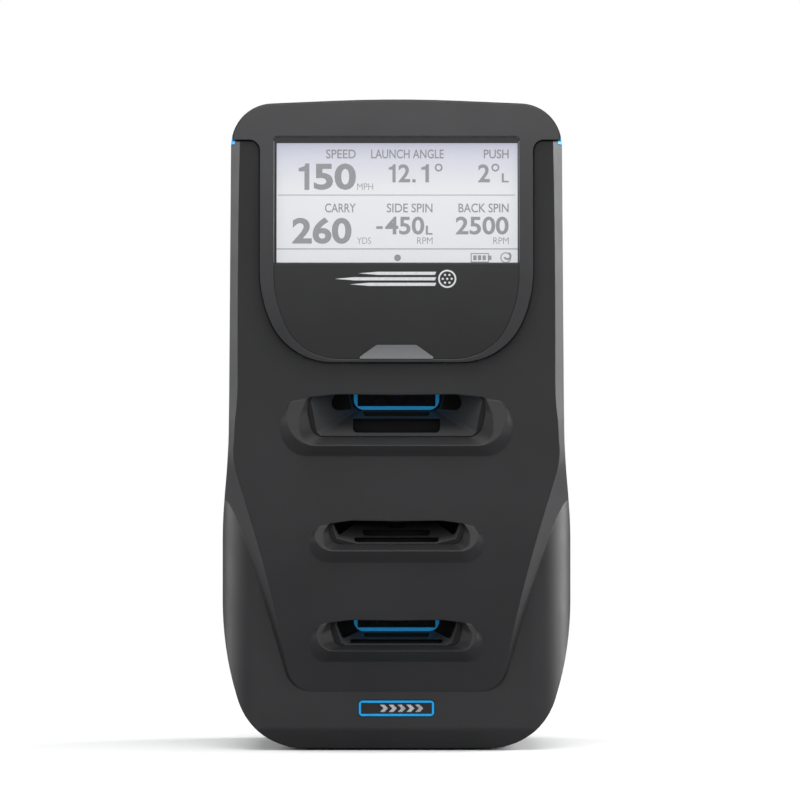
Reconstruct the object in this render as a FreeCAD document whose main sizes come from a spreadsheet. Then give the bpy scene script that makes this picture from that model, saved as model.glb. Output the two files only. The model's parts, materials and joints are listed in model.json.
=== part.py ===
import FreeCAD, Part
import math
import os
import re

import Sketcher
from FreeCAD import Placement, Rotation, Vector

# A camera-based golf launch monitor that stands on the ground beside the ball.
# Millimetres, +Z up, the camera side faces -Y, mirror-symmetric about X = 0.
# The origin is the centre of the footprint, on the ground.

doc = FreeCAD.newDocument("LaunchMonitor")
sheet = doc.addObject("Spreadsheet::Sheet", "Sizes")

SIZES = [
    ("body_width", 167, "widest part of the casing"),
    ("body_height", 310, "ground to crown"),
    ("body_depth", 116, "display face to rear wall"),
    ("underside", 0.8, "ground to the casing's underside"),
    ("wall", 2.8, "casing wall"),
    ("fit_gap", 0.3, "clearance between fitted pieces"),
    ("chin_face", -38, "depth of the chin's front plane"),
    ("main_face", -50, "depth of the main front face"),
    ("seam_depth", 16, "depth of the joint between front and rear shell"),
    ("seam_height", 290, "height where the joint turns back to the front"),
    ("seam_gap", 0.6, "open joint between the shells"),
    ("strip_width", 3.2, "accent strip, across"),
    ("strip_depth", 1.8, "accent strip, into the wall"),
    ("strip_foot", 120, "lower end of an accent strip"),
    ("board", 1.6, "circuit board thickness"),
    ("ring_plane", -20, "depth where the window rings sit"),
    ("ring_width", 41, "window ring, across"),
    ("ring_tall", 17, "window ring, height"),
    ("ring_band", 1.8, "window ring, band width"),
    ("ring_thick", 2.4, "window ring, thickness"),
    ("ring_corner", 5, "window ring, corner radius"),
    ("glass_thick", 1.2, "window glass"),
    ("upper_axis", 170.8, "height of the upper camera"),
    ("middle_axis", 115, "height of the middle camera"),
    ("lower_axis", 64.6, "height of the lower camera"),
    ("barrel", 6.5, "lens barrel radius"),
    ("barrel_reach", 10, "lens barrel length"),
    ("emitter", 1.7, "infrared emitter dome radius"),
    ("camera_board_width", 46, "camera board, across"),
    ("camera_board_tall", 30, "camera board, height"),
    ("spine_plane", -4.4, "front of the optical spine"),
    ("spine_thick", 3, "optical spine"),
    ("spine_width", 96, "optical spine, across"),
    ("spine_tall", 196, "optical spine, height"),
    ("screen_width", 119, "display panel, across"),
    ("screen_tall", 60, "display panel, height"),
    ("screen_thick", 2.4, "display panel"),
    ("screen_centre", 261, "height of the display's centre"),
    ("screen_plane", -50.6, "front of the display panel"),
    ("badge_width", 35.9, "badge, across"),
    ("badge_tall", 7.4, "badge, height"),
    ("badge_centre", 20, "height of the badge's centre"),
    ("badge_band", 1.05, "badge ring band"),
    ("badge_corner", 1.9, "badge corner radius"),
    ("button_width", 17, "button, across"),
    ("button_deep", 9, "button, front to back"),
    ("button_cap", 3, "button cap thickness"),
    ("button_pitch", 23, "spacing of the buttons"),
    ("button_line", 18, "depth of the button row"),
    ("button_top", 309.4, "height of the button faces"),
    ("button_travel", 0.8, "button travel"),
    ("cover_width", 70, "port cover, across"),
    ("cover_tall", 28, "port cover, height"),
    ("cover_thick", 2.4, "port cover thickness"),
    ("cover_foot", 22, "height of the port cover's lower edge"),
    ("hinge_radius", 1.2, "hinge pin radius"),
    ("socket_plane", 46, "depth of the sockets' mouths"),
    ("base_width", 104, "base plate, across"),
    ("base_deep", 76, "base plate, front to back"),
    ("base_thick", 1.6, "base plate"),
    ("base_centre", 6, "depth of the base plate's centre"),
    ("foot_radius", 8, "rubber foot radius"),
    ("foot_thick", 1.8, "rubber foot thickness"),
    ("foot_spread", 38, "front feet, from the middle"),
    ("front_foot_depth", -22, "depth of the front feet"),
    ("level_depth", 24, "depth of the levelling foot"),
    ("level_radius", 9, "levelling pad radius"),
    ("stud_radius", 3, "levelling stud radius"),
    ("screw_radius", 1.5, "casing screw shank radius"),
    ("head_radius", 2.75, "casing screw head radius"),
    ("head_tall", 2, "casing screw head height"),
    ("grip_width", 98, "carry recess, across"),
    ("grip_foot", 226, "carry recess, lower edge"),
    ("grip_brow", 268, "carry recess, upper edge"),
    ("grip_roof", 276, "carry recess, upper edge at its back wall"),
    ("grip_back", 22, "depth of the carry recess's back wall"),
]
for row, (alias, value, meaning) in enumerate(SIZES, start=1):
    sheet.set(f"A{row}", meaning)
    sheet.set(f"B{row}", str(value))
    sheet.setAlias(f"B{row}", alias)
doc.recompute()

ALIASES = sorted((alias for alias, _, _ in SIZES), key=len, reverse=True)
ALIAS_PATTERN = re.compile(r"\b(" + "|".join(ALIASES) + r")\b")
nodes = []


def size(alias):
    return float(getattr(sheet, alias))


def bind(thing, prop, formula):
    """Bind a property to a formula written with the sheet's aliases."""
    thing.setExpression(prop, ALIAS_PATTERN.sub(r"Sizes.\1", str(formula)))


def put(thing, x, y, z, rotation=None):
    thing.Placement = Placement(Vector(), rotation or Rotation())
    for name, formula in zip("xyz", (x, y, z)):
        bind(thing, f"Placement.Base.{name}", formula)


def node(thing, label):
    """Name a finished sub-part; its label names its file."""
    thing.Label = label
    nodes.append(thing)
    return thing


# ---------------------------------------------------------------- primitives

TO_Y = Rotation(Vector(1, 0, 0), -90)
TO_X = Rotation(Vector(0, 1, 0), 90)
UPRIGHT = Rotation()


def block(width, depth, height, x, y, z):
    """Box centred on x and z, with its front face at y."""
    thing = doc.addObject("Part::Box", "block")
    bind(thing, "Length", width)
    bind(thing, "Width", depth)
    bind(thing, "Height", height)
    put(thing, f"({x}) - ({width}) / 2", y, f"({z}) - ({height}) / 2")
    return thing


def rod(radius, length, x, y, z, turn=UPRIGHT):
    """Cylinder that starts at the point and runs along +Z, or where turn takes it."""
    thing = doc.addObject("Part::Cylinder", "rod")
    bind(thing, "Radius", radius)
    bind(thing, "Height", length)
    put(thing, x, y, z, turn)
    return thing


def dome(radius, x, y, z):
    thing = doc.addObject("Part::Sphere", "dome")
    bind(thing, "Radius", radius)
    put(thing, x, y, z)
    return thing


def fused(things):
    whole = doc.addObject("Part::MultiFuse", "fused")
    whole.Shapes = things
    return whole


def grouped(things):
    whole = doc.addObject("Part::Compound", "grouped")
    whole.Links = things
    return whole


def cut(base, tools):
    whole = doc.addObject("Part::Cut", "cut")
    whole.Base = base
    whole.Tool = tools[0] if len(tools) == 1 else fused(tools)
    return whole


# ------------------------------------------------- plates, as sketched bodies

def draw_rectangle(sketch, width, height):
    """Rectangle centred on the sketch's origin, its sides bound to formulas."""
    first = sketch.GeometryCount
    corners = [Vector(-9, -9, 0), Vector(9, -9, 0), Vector(9, 9, 0), Vector(-9, 9, 0)]
    for i in range(4):
        sketch.addGeometry(Part.LineSegment(corners[i], corners[(i + 1) % 4]), False)
    for i in range(4):
        sketch.addConstraint(
            Sketcher.Constraint("Coincident", first + i, 2, first + (i + 1) % 4, 1)
        )
        way = "Horizontal" if i % 2 == 0 else "Vertical"
        sketch.addConstraint(Sketcher.Constraint(way, first + i))
    sketch.addConstraint(
        Sketcher.Constraint("Symmetric", first, 1, first + 2, 1, -1, 1)
    )
    for kind, side, formula in (("DistanceX", first, width), ("DistanceY", first + 1, height)):
        index = sketch.addConstraint(Sketcher.Constraint(kind, side, 1, side, 2, 18))
        bind(sketch, f"Constraints[{index}]", formula)


def draw_circle(sketch, radius, across, up):
    circle = sketch.addGeometry(Part.Circle(Vector(across, up, 0), Vector(0, 0, 1), 3))
    index = sketch.addConstraint(Sketcher.Constraint("Radius", circle, 3))
    bind(sketch, f"Constraints[{index}]", radius)
    sketch.addConstraint(Sketcher.Constraint("DistanceX", -1, 1, circle, 3, across))
    sketch.addConstraint(Sketcher.Constraint("DistanceY", -1, 1, circle, 3, up))


def plate(label, width, height, thick, corner, at, lies=False, opening=None, holes=()):
    """Round-cornered plate: it stands facing front with its front face at y, or it
    lies with its underside at z. The opening is a rectangle, the holes are circles."""
    body = doc.addObject("PartDesign::Body", label)
    role = "XY_Plane" if lies else "XZ_Plane"
    plane = [f for f in body.Origin.OriginFeatures if f.Role == role][0]
    sketch = body.newObject("Sketcher::SketchObject", label + "_sketch")
    sketch.AttachmentSupport = (plane, [""])
    sketch.MapMode = "FlatFace"
    draw_rectangle(sketch, width, height)
    if opening:
        draw_rectangle(sketch, *opening)
    for radius, across, up in holes:
        draw_circle(sketch, radius, across, up)
    pad = body.newObject("PartDesign::Pad", label + "_pad")
    pad.Profile = sketch
    pad.Reversed = not lies
    bind(pad, "Length", thick)
    body.Tip = pad
    doc.recompute()
    along = Vector(0, 0, 1) if lies else Vector(0, 1, 0)
    box = pad.Shape.BoundBox
    names = []
    for i, edge in enumerate(pad.Shape.Edges, start=1):
        middle = edge.CenterOfMass
        straight = isinstance(edge.Curve, Part.Line)
        up, top = (middle.y, box.YMax) if lies else (middle.z, box.ZMax)
        outer = abs(middle.x) > box.XMax - 0.01 and abs(up) > top - 0.01
        if straight and outer and abs(edge.tangentAt(edge.FirstParameter).dot(along)) > 0.9:
            names.append(f"Edge{i}")
    rounding = body.newObject("PartDesign::Fillet", label + "_corners")
    rounding.Base = (pad, names)
    bind(rounding, "Radius", corner)
    body.Tip = rounding
    put(body, *at)
    return node(body, label)


# ------------------------------------------------------- outlines and prisms

def mirrored(half):
    """Closed outline from its right half, listed upward as (across, up, radius)."""
    return list(half) + [(-u, v, r) for u, v, r in reversed(half) if u > 0]


def inset(corners, distance):
    """Outline moved inward, or outward by a negative distance."""
    moved = []
    for i, (u, v, radius) in enumerate(corners):
        u0, v0, _ = corners[i - 1]
        u1, v1, _ = corners[(i + 1) % len(corners)]
        came = Vector(u - u0, v - v0, 0).normalize()
        goes = Vector(u1 - u, v1 - v, 0).normalize()
        in_came, in_goes = Vector(-came.y, came.x, 0), Vector(-goes.y, goes.x, 0)
        shift = (in_came + in_goes) * (distance / (1 + in_came.dot(in_goes)))
        convex = came.cross(goes).z > 0
        new_radius = radius - distance if convex else radius + distance
        moved.append((u + shift.x, v + shift.y, max(new_radius, 0) if radius else 0))
    return moved


def between(corners_a, corners_b, share):
    """Outline a share of the way from a to b; beyond 0 and 1 it runs on."""
    return [
        tuple(a + (b - a) * share for a, b in zip(one, other))
        for one, other in zip(corners_a, corners_b)
    ]


def wire(corners, place):
    """Closed wire with each corner rounded by an arc of its own radius."""
    flat = [Vector(u, v, 0) for u, v, _ in corners]
    spans = []
    for i, (_, _, radius) in enumerate(corners):
        here = flat[i]
        back = (flat[i - 1] - here).normalize()
        ahead = (flat[(i + 1) % len(flat)] - here).normalize()
        half = back.getAngle(ahead) / 2
        reach = radius / math.tan(half)
        middle = here + (back + ahead).normalize() * (radius / math.sin(half) - radius)
        spans.append((here + back * reach, middle, here + ahead * reach))
    edges = []
    for i, (start, middle, end) in enumerate(spans):
        following = spans[(i + 1) % len(spans)][0]
        if (end - start).Length > 1e-6:
            edges.append(Part.Arc(place(start), place(middle), place(end)).toShape())
        if (following - end).Length > 1e-6:
            edges.append(Part.makeLine(place(end), place(following)))
    return Part.Wire(edges)


def front_wire(corners, y):
    return wire(corners, lambda p: Vector(p.x, y, p.y))


def front_prism(corners, y_front, y_back):
    """Outline across X and Z, extruded from front to back."""
    face = Part.Face(front_wire(corners, y_front))
    return face.extrude(Vector(0, y_back - y_front, 0))


def side_prism(corners, reach=100):
    """Outline across Y and Z, extruded from side to side."""
    face = Part.Face(wire(corners, lambda p: Vector(-reach, p.x, p.y)))
    return face.extrude(Vector(2 * reach, 0, 0))


def plan_prism(corners, z_low, z_high):
    """Outline across X and Y, extruded upward."""
    face = Part.Face(wire(corners, lambda p: Vector(p.x, p.y, z_low)))
    return face.extrude(Vector(0, 0, z_high - z_low))


def tapered(corners_a, y_a, corners_b, y_b):
    """Straight-sided solid between two outlines with the same corners."""
    return Part.makeLoft([front_wire(corners_a, y_a), front_wire(corners_b, y_b)], True, True)


def slab(x0, x1, y0, y1, z0, z1):
    return Part.makeBox(x1 - x0, y1 - y0, z1 - z0, Vector(x0, y0, z0))


def post(radius, x, z, y_front, y_back):
    return Part.makeCylinder(radius, y_back - y_front, Vector(x, y_front, z), Vector(0, 1, 0))


def shaped(shape, label):
    """Sub-part whose sculpted shape is made here from the sheet's sizes."""
    if len(shape.Solids) == 1:
        shape = shape.Solids[0]
    thing = doc.addObject("Part::Feature", label)
    thing.Shape = shape
    thing.Placement = Placement()
    return node(thing, label)


# ------------------------------------------------------------------- casing

HALF_WIDTH = size("body_width") / 2
CROWN = size("body_height")
REAR = size("body_depth") / 2
WALL = size("wall")
GAP = size("fit_gap")
CHIN = size("chin_face")
FACE = size("main_face")
UNDER = size("underside")

# Front silhouette: flat foot, swept boot, shallow waist, upright sides, low crown.
SILHOUETTE = mirrored([
    (68.5, UNDER, 33.3),
    (HALF_WIDTH, 48.2, 155),
    (HALF_WIDTH, 112.2, 226),
    (79.9, 140.8, 226),
    (78.5, CROWN - 2.7, 20),
    (0, CROWN + 0.64, 700),
])
FACE_FOOT = 115       # the main face is upright above this height
LEAN_FOOT = 180       # and leans forward above this one
CHIN_ARC = 323.6      # radius of the face where it curves back into the chin
LEAN_ARC = 2490       # radius of the forward lean


def face_depth(z):
    """Depth of the main front face at a height."""
    if z < FACE_FOOT:
        return FACE + CHIN_ARC - math.sqrt(CHIN_ARC**2 - (FACE_FOOT - z) ** 2)
    if z <= LEAN_FOOT:
        return FACE
    return FACE - LEAN_ARC + math.sqrt(LEAN_ARC**2 - (z - LEAN_FOOT) ** 2)


def tongue_section(y):
    """Outline of the raised main face at a depth: it widens towards the back, by
    0.4 at the tongue, 0.6 beside the display and 0.3 at the crown."""
    low, high, top = 0.4 * (y - FACE), 0.6 * (y - FACE), 0.3 * (y - FACE)
    return mirrored([
        (45.5 + low, 33 - low, 13),
        (78.2 + low, 139.5, 40),
        (75.4 + (low + high) / 2, 166, 150),
        (75.7 + high, CROWN - 4 + top, 13.5 + top),
        (0, CROWN - 0.25 + top, 700),
    ])


def face_profile(distance):
    """Everything behind the main face, moved in by a distance."""
    foot, top, back = 10, CROWN + 6, 10

    def at(z):
        return Vector(-100, face_depth(z) + distance, z)

    corners = [at(top), Vector(-100, back, top), Vector(-100, back, foot), at(foot)]
    edges = [
        Part.Arc(at(foot), at(60), at(FACE_FOOT)).toShape(),
        Part.makeLine(at(FACE_FOOT), at(LEAN_FOOT)),
        Part.Arc(at(LEAN_FOOT), at(250), at(top)).toShape(),
    ]
    edges += [Part.makeLine(a, b) for a, b in zip(corners, corners[1:])]
    return Part.Face(Part.Wire(edges)).extrude(Vector(200, 0, 0))


def casing(distance):
    """The casing's outer form, moved in by a distance: the boot with its rounded
    plan and bevelled foot, and the raised tongue, inside the silhouette."""
    side = HALF_WIDTH + 0.15
    plan = inset([(-side, CHIN, 20), (side, CHIN, 20),
                  (side, REAR, 26), (-side, REAR, 26)], distance)
    foot = inset([(CHIN + 3, -5, 0), (REAR + 40, -5, 0), (REAR + 40, 330, 0),
                  (CHIN, 330, 0), (CHIN, 9.9, 6), (CHIN + 3, UNDER, 0)], distance)
    rear = inset([(-80, -20, 0), (REAR, -20, 0), (REAR, 205, 60),
                  (REAR - 20, CROWN - 0.5, 13), (-80, CROWN + 9, 0)], distance)
    boot = plan_prism(plan, -10, 330).common(side_prism(foot))
    front_y, back_y = -62, -8
    tongue = tapered(inset(tongue_section(front_y), distance), front_y,
                     inset(tongue_section(back_y), distance), back_y)
    tongue = tongue.common(face_profile(distance))
    silhouette = front_prism(inset(SILHOUETTE, distance), -80, 80)
    return boot.fuse(tongue).common(silhouette).common(side_prism(rear))


# ------------------------------------------------------------ camera windows

class Window:
    """A hooded camera window. Its floor narrows like a hopper from the seam back to the
    ring plane: a flat middle with its edge at inner, and a mitred slope out to outer."""

    def __init__(self, brow, seam, lip, foot, widths, front_floor, back_floor, traps, pocket):
        self.brow, self.seam, self.lip, self.foot = brow, seam, lip, foot
        self.seam_half, self.lip_half, self.foot_half = widths
        self.front_floor, self.back_floor = front_floor, back_floor
        self.traps = traps
        self.pocket = pocket
        self.lip_depth = face_depth(lip) - 4.6
        self.seam_depth = face_depth(seam) + 1

    def brow_at(self, half):
        """Height of the brow, which droops towards its ends."""
        flat = 0.52 * self.foot_half
        return self.brow - 5 * max((half - flat) / (self.foot_half - flat), 0) ** 2

    def outline(self, half, bottom):
        """The window at a half-width; towards its foot its corners get rounder and its
        shoulders draw in more."""
        share = (half - self.seam_half) / (self.foot_half - self.seam_half)
        tall = self.brow - bottom
        shoulder = half - 0.8 - 4.2 * share
        return mirrored([
            (half - 2.4, bottom, 0.36 * tall + 2.5 * share),
            (half, bottom + 0.6 * tall, 0.4 * tall),
            (shoulder, self.brow_at(shoulder), 2 + 2.5 * share),
            (0.5 * self.foot_half, self.brow + 0.3, 14),
            (0, self.brow, 60),
        ])

    def hopper_outlines(self):
        """The hopper at the seam and at the ring plane, where its roof clears the ring."""
        half = self.seam_half - 1.2
        (inner, low), (outer, side) = self.front_floor
        front = [(inner, low, 0), (outer, side, 0), (half, self.brow_at(half), 2),
                 (0.5 * half, self.brow + 0.3, 8), (0, self.brow, 60)]
        (inner, low), (outer, side) = self.back_floor
        half, roof = outer + 4, low + size("ring_tall") + 2.5
        back = [(inner, low, 0), (outer, side, 0), (half, roof - 1, 2),
                (0.5 * half, roof + 0.3, 8), (0, roof, 60)]
        return mirrored(front), mirrored(back)

    def depth_at(self, height):
        """Depth where the middle of the hopper's floor reaches a height."""
        low, high = self.front_floor[0][1], self.back_floor[0][1]
        run = size("ring_plane") - self.seam_depth
        return self.seam_depth + run * (height - low) / (high - low)


# A floor is the (half-width, height) of its inner and outer edge. A light trap is its
# half-width, floor and ceiling. A pocket is the right-hand one's outline.
UPPER = Window(169.4, 149.2, 145.4, 140.4, (42.2, 49.4, 55.7),
               [(36, 150.1), (37.8, 151.9)], [(18.4, 162.1), (20.6, 163.6)],
               [(20.8, 151.4, 158), (15.8, 159.3, 161.6)],
               [(20.5, 162.7, 0), (30.4, 161.9, 3.5), (31.3, 166, 3), (28.6, 172, 0),
                (20.5, 172, 0)])
MIDDLE = Window(109.5, 98.4, 95.5, 89.9, (32.3, 37.4, 42.7),
                [(18.9, 98.9), (28.4, 101.2)], [(2.4, 109.3), (16.1, 110.2)],
                [(20, 99.3, 101.6), (16, 102.3, 105), (4.4, 105.8, 109)],
                [(27.2, 102.6, 1), (30.6, 108, 1), (29, 113, 0), (15.5, 113, 0),
                 (15.5, 110.6, 0)])
LOWER = Window(62.2, 49.8, 47.8, 42.4, (31.2, 37.6, 44),
               [(24, 50.4), (26.4, 51.7)], [(15, 55.9), (16.6, 57)],
               [(22, 51, 52.7), (15.5, 53.5, 55.2)],
               [(15, 57.4, 0), (25.6, 53, 1.5), (29.3, 60.8, 1), (28, 66, 0), (15, 66, 0)])
WINDOWS = {"upper": UPPER, "middle": MIDDLE, "lower": LOWER}


def window_lip(window):
    """The surround that stands out below and beside a window and dies out at the brow."""
    face = face_depth(window.foot)
    foot = window.outline(window.foot_half, window.foot)
    lip = window.outline(window.lip_half, window.lip)
    run = face - window.lip_depth
    embed = 2.2
    solid = tapered(lip, window.lip_depth, between(lip, foot, 1 + embed / run), face + embed)
    visor = [(face_depth(window.brow) + 0.1, window.brow, 0),
             (window.lip_depth, window.lip - 0.8, 0),
             (window.lip_depth - 0.5, window.foot - 9, 0),
             (window.lip_depth + 30, window.foot - 9, 0),
             (window.lip_depth + 30, window.brow, 0)]
    return solid.common(side_prism(visor))


def window_mouth(window):
    """The opening through the shell, with its lead-in from lip to seam."""
    lip = window.outline(window.lip_half, window.lip)
    seam = window.outline(window.seam_half, window.seam)
    run = window.seam_depth - window.lip_depth
    ahead = 6
    lead = tapered(between(seam, lip, 1 + ahead / run), window.lip_depth - ahead,
                   seam, window.seam_depth)
    return [lead, front_prism(inset(seam, 0.05), window.seam_depth - 0.5, window.seam_depth + 8)]


def window_shroud(window, inner):
    """Hopper behind a window, with light traps in its floor and a pocket at each side."""
    skin, plane = 1.5, size("ring_plane")
    front, back = window.hopper_outlines()
    hollows = [tapered(front, window.seam_depth, back, plane)]
    skins = [tapered(inset(front, -skin), window.seam_depth, inset(back, -skin), plane)]
    for half, low, high in window.traps:
        start, end = max(window.depth_at(low) - 1, window.seam_depth + 1.5), window.depth_at(high)
        corner = min(2.2, 0.45 * (high - low))
        trap = [(-half, low, corner), (half, low, corner), (half, high, 0), (-half, high, 0)]
        hollows.append(front_prism(trap, start, min(end + 5, plane - skin)))
        skins.append(slab(-half - skin, half + skin, start + skin, min(end + 5 + skin, plane),
                          low - skin, high + 0.5))
    mirror = [(-x, z, radius) for x, z, radius in reversed(window.pocket)]
    for outline in (window.pocket, mirror):
        hollows.append(front_prism(outline, window.seam_depth + 2, plane - skin))
        skins.append(front_prism(inset(outline, -skin), window.seam_depth + 3, plane))
    half, low = size("ring_width") / 2, window.back_floor[0][1] + 0.1
    ring = [(-half, low, 5), (half, low, 5), (half, low + size("ring_tall"), 5),
            (-half, low + size("ring_tall"), 5)]
    hollows.append(front_prism(inset(ring, -0.1), plane - size("ring_thick") - 0.4, plane + 1))
    seam = window.outline(window.seam_half, window.seam)
    nose = front_prism(inset(seam, 0.2), window.seam_depth, window.seam_depth + 7)
    flange = front_prism(inset(seam, -4), window.seam_depth + 4, window.seam_depth + 5.5)
    body = skins[0].multiFuse(skins[1:] + [flange]).common(inner).fuse(nose)
    hollows.append(slab(-90, 90, plane, plane + 20, 0, 250))
    moulding = body.cut(hollows[0].multiFuse(hollows[1:]))
    # a hair's breadth of skin can stay loose along the twisted roof, and is dropped
    return max(moulding.Solids, key=lambda solid: solid.Volume)


# -------------------------------------------------------------- display pod

CAP_FOOT = size("seam_height") + 0.05  # the pod widens here into a cap over the crown
POD = mirrored([
    (51.3, 184.8, 32),
    (64.8, 215.5, 60),
    (64.8, CAP_FOOT, 5),
    (HALF_WIDTH + 6, CAP_FOOT, 0),
    (HALF_WIDTH + 6, CROWN + 10, 0),
])
POD_BACK = FACE + 7
CAP_EDGE = 1          # the cap stands in from the silhouette
SHIELD = mirrored([
    (46.5, 186.3, 28),
    (58.1, 216.5, 55),
    (58.1, 291.8, 1.5),
])
POD_ARC = 430         # the pod's face is a shallow arch across this radius
POD_PEAK = 235        # height of its foremost line
SPLIT_HEIGHT = 231.4  # the dark fascia ends and the clear window begins


def behind_pod_face(distance):
    """Everything behind the pod's arched face, moved in by a distance."""
    centre = Vector(-90, -REAR + POD_ARC, POD_PEAK)
    drum = Part.makeCylinder(POD_ARC - distance, 180, centre, Vector(1, 0, 0))
    return drum.common(slab(-90, 90, -REAR - 5, -20, 150, 330))


def pod_shapes():
    back, shelf = POD_BACK, FACE - 1.2
    cap = front_prism(inset(SILHOUETTE, CAP_EDGE), -75, back + 5)
    tub = front_prism(inset(POD, GAP / 2), -70, back).common(behind_pod_face(0)).common(cap)
    cavity = front_prism(inset(SHIELD, -3.5), shelf, back + 5)
    cavity = cavity.cut(slab(-90, 90, -90, 0, 292.5, 330))
    frame = tub.cut(front_prism(SHIELD, -70, shelf + 1)).cut(cavity)
    pane = front_prism(inset(SHIELD, 0.1), -70, back).common(behind_pod_face(0.4))
    pane = pane.cut(behind_pod_face(2))
    clear = pane.common(slab(-90, 90, -90, 0, SPLIT_HEIGHT + 0.1, 330))
    dark = pane.common(slab(-90, 90, -90, 0, 150, SPLIT_HEIGHT - 0.1))
    return frame, dark, clear


STATUS_LENS = mirrored([(18.7, 186.5, 0.6), (9.4, 193.1, 1.6)])


# ------------------------------------------------------------ build: casing

outer_form = casing(0)
inner_form = casing(WALL)
header = slab(-90, 90, -90, FACE + 12, size("seam_height") - 4, CROWN + 5)
shell = outer_form.cut(inner_form.cut(header))
seam_y, seam_z, half_gap = size("seam_depth"), size("seam_height"), size("seam_gap") / 2
BIG = 120


def seam_zone(grow):
    """The front shell's share of space; it ends in an inverted L."""
    return slab(-BIG, BIG, -BIG, seam_y + grow, -BIG, seam_z + grow)


def strip_zone(grow, side):
    """The L of space along the seam that an accent strip fills on one side."""
    half = size("strip_width") / 2 + grow
    foot = size("strip_foot") - grow
    run = slab(76.6 - grow, BIG, -BIG, seam_y + half, seam_z - half, seam_z + half)
    drop = slab(60, BIG, seam_y - half, seam_y + half, foot, seam_z + half)
    zone = run.fuse(drop).removeSplitter()
    return zone if side > 0 else zone.mirror(Vector(), Vector(1, 0, 0))


def base_recess(grow, z_low, z_high):
    half_x = size("base_width") / 2 + grow
    half_y, middle = size("base_deep") / 2 + grow, size("base_centre")
    corners = [(-half_x, middle - half_y, 8), (half_x, middle - half_y, 8),
               (half_x, middle + half_y, 8), (-half_x, middle + half_y, 8)]
    return plan_prism(corners, z_low, z_high)


POSTS = [(side * x, z) for side in (-1, 1) for x, z in ((66, 34), (70, 150), (66, 222))]
strip_bed = outer_form.cut(casing(size("strip_depth")))
pod_hole = front_prism(inset(POD, -GAP / 2), -80, FACE + 10).cut(
    slab(-BIG, BIG, POD_BACK + GAP, 0, 292.5, 330))
BASE_SCREWS = [(x, y) for x in (-50, 50) for y in (-18, 30)]
base_hole = base_recess(GAP, -5, UNDER + size("base_thick") + 0.1).multiFuse(
    [base_recess(-4, -5, 8)]
    + [Part.makeCylinder(1.6, 20, Vector(x, y, -5)) for x, y in BASE_SCREWS])


def front_shell():
    body = shell.common(seam_zone(-half_gap))
    studs = [post(4.4, x, z, -55, seam_y - half_gap) for x, z in POSTS]
    studs = studs[0].multiFuse(studs[1:]).common(casing(1)).common(seam_zone(-half_gap))
    cores = [post(1.3, x, z, seam_y - 14, seam_y + 5) for x, z in POSTS]
    body = body.fuse(studs)
    mid_wall = casing(WALL / 2)
    for window in WINDOWS.values():
        body = body.fuse(window_lip(window).cut(mid_wall))
    for window in WINDOWS.values():
        for hollow in window_mouth(window):
            body = body.cut(hollow)
    badge = front_prism(badge_outline(-0.15), CHIN - 2, CHIN + 1.1)
    beds = [strip_zone(0.1, side).common(strip_bed) for side in (-1, 1)]
    return body.cut(cores[0].multiFuse(cores[1:] + beds + [badge, pod_hole, base_hole]))


def badge_outline(distance):
    half_x, half_z = size("badge_width") / 2, size("badge_tall") / 2
    middle, corner = size("badge_centre"), size("badge_corner")
    return inset([(-half_x, middle - half_z, corner), (half_x, middle - half_z, corner),
                  (half_x, middle + half_z, corner), (-half_x, middle + half_z, corner)],
                 distance)


def grip_space(grow):
    """The carry recess in the rear wall; its ceiling climbs from the mouth to the back."""
    half = size("grip_width") / 2 + grow
    back, foot = size("grip_back") - grow, size("grip_foot") - grow
    brow, roof = size("grip_brow") + grow, size("grip_roof") + grow
    corner = 8 + grow
    recess = front_prism([(-half, foot, corner), (half, foot, corner),
                          (half, roof, 6), (-half, roof, 6)], back, REAR + 5)
    ceiling = side_prism([(back - 1, foot - 1, 0), (REAR + 6, foot - 1, 0),
                          (REAR + 6, brow, 0), (back - 1, roof + 0.5, 0)])
    return recess.common(ceiling)


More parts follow.
